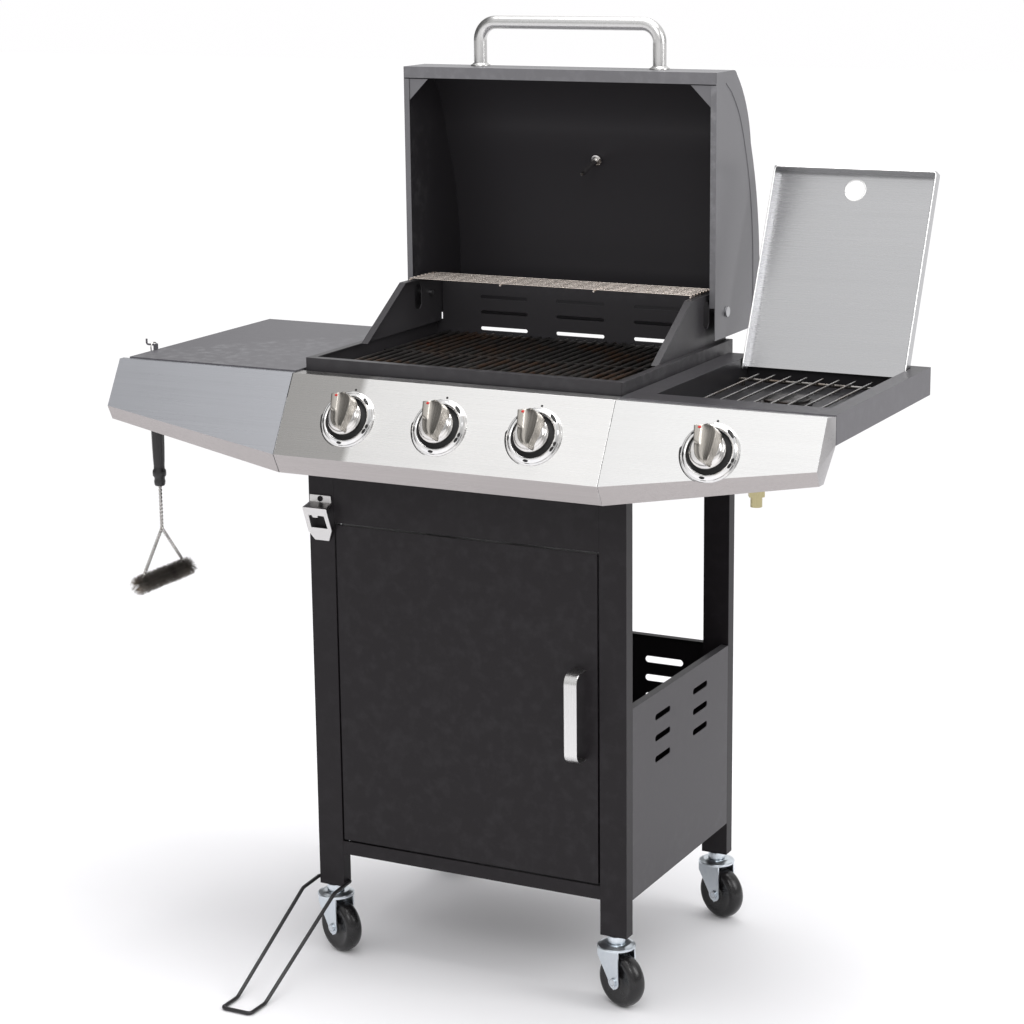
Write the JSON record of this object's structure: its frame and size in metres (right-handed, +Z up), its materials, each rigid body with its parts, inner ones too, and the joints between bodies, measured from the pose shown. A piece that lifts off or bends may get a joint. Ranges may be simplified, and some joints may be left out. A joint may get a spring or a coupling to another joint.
{
  "type": "gas barbecue grill",
  "caption": "Cart gas grill with open hinged hood, cooking grate, warming rack, push-and-turn knobs, side burner with lid, side shelf, cabinet with door, swivel casters and a hanging brush.",
  "frame": {"origin": "at floor level, under the middle of the whole grill's bounding box", "axes": "+X to the right seen from the front, the front (knobs and door) faces -Y, +Z up"},
  "size_m": [1.14, 0.7472, 1.393],
  "materials": {
    "frame_paint": "satin dark powder coat",
    "side_paint": "satin charcoal powder coat",
    "shelf_paint": "satin grey enamel",
    "hood_paint": "satin metallic grey enamel",
    "firebox_enamel": "black porcelain enamel",
    "panel_steel": "brushed stainless sheet",
    "handle_steel": "polished stainless",
    "lid_steel": "brushed stainless sheet",
    "knob_chrome": "bright plated",
    "bright_wire": "plated wire",
    "grate_steel": "dark enamelled rod",
    "burner_steel": "stainless tube",
    "tray_steel": "plain pressed sheet",
    "valve_alloy": "die cast",
    "pipe_alloy": "plain tube",
    "inlet_brass": "plain turned",
    "zinc_plate": "bright zinc plate",
    "wheel_plastic": "glossy black",
    "grip_plastic": "matt black",
    "brush_wire": "wire bristles",
    "pin_steel": "plain steel"
  },
  "bodies": {
    "cart": {"leg_front_left": "frame_paint", "leg_front_right": "frame_paint", "leg_rear_left": "frame_paint", "leg_rear_right": "frame_paint", "bottom_shelf": "frame_paint", "front_apron": "frame_paint", "side_panel_left": "side_paint", "side_panel_right": "side_paint", "back_panel": "frame_paint", "frame_rails": "frame_paint", "hinge_pins": "pin_steel", "caster_stems": "zinc_plate", "control_panel": "panel_steel", "fascia_left": "panel_steel", "fascia_right": "panel_steel", "knob_bezels": "knob_chrome", "gas_valves": "valve_alloy", "gas_manifold": "pipe_alloy", "gas_inlet": "inlet_brass", "firebox_tub": "firebox_enamel", "firebox_back": "firebox_enamel", "firebox_sides": "firebox_enamel", "burner_tubes": "burner_steel", "flame_tamers": "burner_steel", "cooking_grate": "grate_steel", "warming_rack": "bright_wire", "left_shelf": "shelf_paint", "side_burner_tray": "shelf_paint", "side_burner": "grate_steel", "side_grate": "bright_wire", "bottle_opener": "zinc_plate", "fasteners": "pin_steel"},
    "hood": {"hood_shell": "hood_paint", "hood_end_caps": "hood_paint", "hood_handle": "handle_steel", "thermometer": "knob_chrome"},
    "cabinet_door": {"door": "frame_paint", "door_handle": "handle_steel"},
    "burner_lid": {"side_lid": "lid_steel"},
    "grease_drawer": {"grease_tray": "tray_steel", "grease_cup": "tray_steel"},
    "brush": {"brush_handle": "grip_plastic", "brush_head": "brush_wire"},
    "stay": {"wire_stay": "bright_wire"},
    "push_1": {"valve_stem_1": "pin_steel"},
    "dial_1": {"knob_1": "knob_chrome"},
    "push_2": {"valve_stem_2": "pin_steel"},
    "dial_2": {"knob_2": "knob_chrome"},
    "push_3": {"valve_stem_3": "pin_steel"},
    "dial_3": {"knob_3": "knob_chrome"},
    "push_4": {"valve_stem_4": "pin_steel"},
    "dial_4": {"knob_4": "knob_chrome"},
    "fork_front_left": {"caster_fork_front_left": "zinc_plate"},
    "wheel_front_left": {"caster_wheel_front_left": "wheel_plastic"},
    "fork_front_right": {"caster_fork_front_right": "zinc_plate"},
    "wheel_front_right": {"caster_wheel_front_right": "wheel_plastic"},
    "fork_rear_left": {"caster_fork_rear_left": "zinc_plate"},
    "wheel_rear_left": {"caster_wheel_rear_left": "wheel_plastic"},
    "fork_rear_right": {"caster_fork_rear_right": "zinc_plate"},
    "wheel_rear_right": {"caster_wheel_rear_right": "wheel_plastic"}
  },
  "joints": [
    {"name": "hood_hinge", "type": "hinge", "parent": "cart", "child": "hood", "pos_m": [0, 0.2426, 0.966], "axis": [1, 0, 0], "range_deg": [0, 90]},
    {"name": "door_hinge", "type": "hinge", "parent": "cart", "child": "cabinet_door", "pos_m": [-0.206, -0.1034, 0.43], "axis": [0, 0, -1], "range_deg": [0, 90]},
    {"name": "burner_lid_hinge", "type": "hinge", "parent": "cart", "child": "burner_lid", "pos_m": [0.42, 0.2206, 0.89], "axis": [1, 0, 0], "range_deg": [0, 113.5]},
    {"name": "grease_drawer_slide", "type": "slide", "parent": "cart", "child": "grease_drawer", "axis": [0, 1, 0], "range_m": [0, 0.3]},
    {"name": "brush_swing", "type": "hinge", "parent": "cart", "child": "brush", "pos_m": [-0.554, -0.0644, 0.9095], "axis": [1, 0, 0], "range_deg": [-20, 20]},
    {"name": "stay_hinge", "type": "hinge", "parent": "cart", "child": "stay", "pos_m": [-0.236, -0.0989, 0.112], "axis": [-1, 0, 0], "range_deg": [0, 30]},
    {"name": "knob_1_push", "type": "slide", "parent": "cart", "child": "push_1", "axis": [0, 0.8753, -0.4836], "range_m": [0, 0.004], "stiffness_N_per_m": 2000, "springref_m": -0.001},
    {"name": "knob_1_turn", "type": "hinge", "parent": "push_1", "child": "dial_1", "pos_m": [-0.148, -0.17357, 0.846], "axis": [0, -0.8753, 0.4836], "range_deg": [0, 180]},
    {"name": "knob_2_push", "type": "slide", "parent": "cart", "child": "push_2", "axis": [0, 0.8753, -0.4836], "range_m": [0, 0.004], "stiffness_N_per_m": 2000, "springref_m": -0.001},
    {"name": "knob_2_turn", "type": "hinge", "parent": "push_2", "child": "dial_2", "pos_m": [0, -0.17357, 0.846], "axis": [0, -0.8753, 0.4836], "range_deg": [0, 180]},
    {"name": "knob_3_push", "type": "slide", "parent": "cart", "child": "push_3", "axis": [0, 0.8753, -0.4836], "range_m": [0, 0.004], "stiffness_N_per_m": 2000, "springref_m": -0.001},
    {"name": "knob_3_turn", "type": "hinge", "parent": "push_3", "child": "dial_3", "pos_m": [0.148, -0.17357, 0.846], "axis": [0, -0.8753, 0.4836], "range_deg": [0, 180]},
    {"name": "knob_4_push", "type": "slide", "parent": "cart", "child": "push_4", "axis": [0, 0.8753, -0.4836], "range_m": [0, 0.004], "stiffness_N_per_m": 2000, "springref_m": -0.001},
    {"name": "knob_4_turn", "type": "hinge", "parent": "push_4", "child": "dial_4", "pos_m": [0.409, -0.17357, 0.846], "axis": [0, -0.8753, 0.4836], "range_deg": [0, 180]},
    {"name": "swivel_front_left", "type": "hinge", "parent": "cart", "child": "fork_front_left", "pos_m": [-0.236, -0.0989, 0.094], "axis": [0, 0, 1], "continuous": true},
    {"name": "spin_front_left", "type": "hinge", "parent": "fork_front_left", "child": "wheel_front_left", "pos_m": [-0.22493, -0.10353, 0.04], "axis": [0.3859, 0.9225, 0], "continuous": true},
    {"name": "swivel_front_right", "type": "hinge", "parent": "cart", "child": "fork_front_right", "pos_m": [0.236, -0.0989, 0.094], "axis": [0, 0, 1], "continuous": true},
    {"name": "spin_front_right", "type": "hinge", "parent": "fork_front_right", "child": "wheel_front_right", "pos_m": [0.24707, -0.10353, 0.04], "axis": [0.3859, 0.9225, 0], "continuous": true},
    {"name": "swivel_rear_left", "type": "hinge", "parent": "cart", "child": "fork_rear_left", "pos_m": [-0.236, 0.2751, 0.094], "axis": [0, 0, 1], "continuous": true},
    {"name": "spin_rear_left", "type": "hinge", "parent": "fork_rear_left", "child": "wheel_rear_left", "pos_m": [-0.22493, 0.27047, 0.04], "axis": [0.3859, 0.9225, 0], "continuous": true},
    {"name": "swivel_rear_right", "type": "hinge", "parent": "cart", "child": "fork_rear_right", "pos_m": [0.236, 0.2751, 0.094], "axis": [0, 0, 1], "continuous": true},
    {"name": "spin_rear_right", "type": "hinge", "parent": "fork_rear_right", "child": "wheel_rear_right", "pos_m": [0.24707, 0.27047, 0.04], "axis": [0.3859, 0.9225, 0], "continuous": true}
  ]
}
